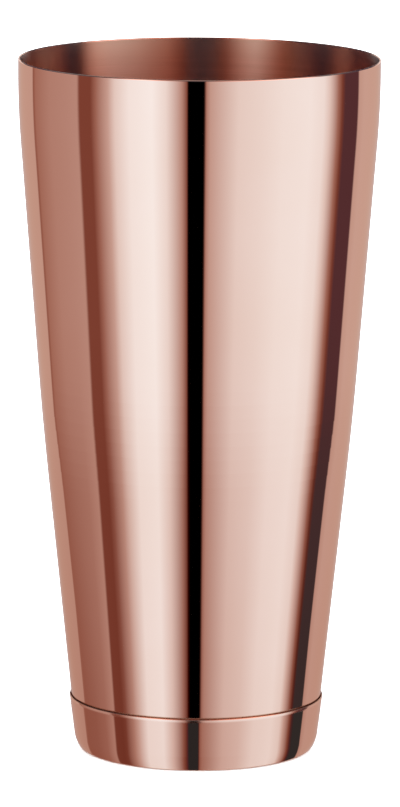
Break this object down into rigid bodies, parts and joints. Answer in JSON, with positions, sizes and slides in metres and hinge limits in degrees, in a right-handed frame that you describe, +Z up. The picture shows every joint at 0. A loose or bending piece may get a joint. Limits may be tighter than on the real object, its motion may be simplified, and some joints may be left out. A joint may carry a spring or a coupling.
{
  "type": "cocktail shaker tin",
  "caption": "Tall tapered metal cocktail shaker tin with an open round mouth and a weighted base closed by a pressed-on cup.",
  "frame": {"origin": "centre of the circle that the base cup stands on, level with the table", "axes": "+Z up the axis of the tin, out of its mouth; X and Y are free, because the tin is round"},
  "size_m": [0.0918, 0.0918, 0.1778],
  "materials": {
    "copper_plate": "polished",
    "ballast_steel": "satin",
    "bond_adhesive": "matte",
    "pad_rubber": "matte",
    "braze_filler": "satin"
  },
  "bodies": {
    "root": {"tin_body": "copper_plate", "base_cup": "copper_plate", "ballast_disc": "ballast_steel", "ballast_bond": "bond_adhesive", "damping_pad": "pad_rubber", "seam_braze": "braze_filler"}
  },
  "joints": []
}
